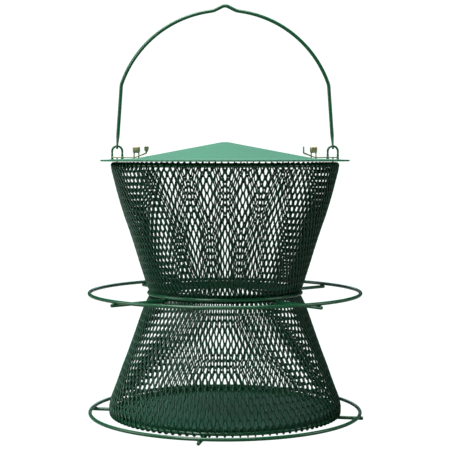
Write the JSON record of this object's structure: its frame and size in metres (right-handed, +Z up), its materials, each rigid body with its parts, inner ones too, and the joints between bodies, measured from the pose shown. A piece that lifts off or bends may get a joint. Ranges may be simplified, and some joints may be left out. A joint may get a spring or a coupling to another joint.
{
  "type": "hanging bird feeder",
  "caption": "Collapsible wire-netting bird feeder with two tiers, round perch rings, a latched sheet-metal lid and a wire bail to hang it by.",
  "frame": {"origin": "on the axis, level with the undersides of the four lower spokes that it stands on", "axes": "+Z up along the axis; X through the two loops that hold the bail; the latches are on the -Y side of the loops"},
  "size_m": [0.25, 0.25, 0.375],
  "materials": {
    "green_wire": "gloss dark green enamel on steel wire",
    "green_sheet": "satin dark green enamel on sheet steel",
    "green_netting": "gloss very dark green enamel on thin wire",
    "zinc": "yellow passivated zinc plating"
  },
  "bodies": {
    "base": {"base_tray": "green_sheet", "base_hoop": "green_wire", "lower_perch_ring": "green_wire", "lower_netting": "green_netting", "lower_spoke_1": "green_wire", "lower_spoke_2": "green_wire", "lower_spoke_3": "green_wire", "lower_spoke_4": "green_wire"},
    "waist": {"waist_hoop": "green_wire", "waist_collar": "green_sheet", "upper_perch_ring": "green_wire", "upper_netting": "green_netting", "upper_spoke_1": "green_wire", "upper_spoke_2": "green_wire", "upper_spoke_3": "green_wire", "upper_spoke_4": "green_wire"},
    "rim": {"rim_hoop": "green_wire"},
    "cover": {"lid": "green_sheet", "loop_right": "green_wire", "loop_left": "green_wire", "keeper_right": "zinc", "keeper_left": "zinc"},
    "latch_r": {"latch_right": "zinc"},
    "latch_l": {"latch_left": "zinc"},
    "handle": {"bail": "green_wire"}
  },
  "joints": [
    {"name": "lower_collapse", "type": "slide", "parent": "base", "child": "waist", "axis": [0, 0, -1], "range_m": [0, 0.088], "deforming": ["lower_netting"]},
    {"name": "upper_collapse", "type": "slide", "parent": "waist", "child": "rim", "axis": [0, 0, -1], "range_m": [0, 0.1], "deforming": ["upper_netting"]},
    {"name": "lid_lift", "type": "slide", "parent": "rim", "child": "cover", "axis": [0, 0, 1], "range_m": [0, 0.03]},
    {"name": "bail_swing", "type": "hinge", "parent": "cover", "child": "handle", "pos_m": [0, 0, 0.2468], "axis": [1, 0, 0], "range_deg": [-95, 95]},
    {"name": "latch_right_slide", "type": "slide", "parent": "cover", "child": "latch_r", "axis": [-0.9781, 0, 0.2079], "range_m": [0, 0.012]},
    {"name": "latch_left_slide", "type": "slide", "parent": "cover", "child": "latch_l", "axis": [0.9781, 0, 0.2079], "range_m": [0, 0.012]}
  ],
  "couplings": [
    {"joint": "latch_right_slide", "follows": "lid_lift", "ratio": 0.4},
    {"joint": "latch_left_slide", "follows": "lid_lift", "ratio": 0.4}
  ]
}
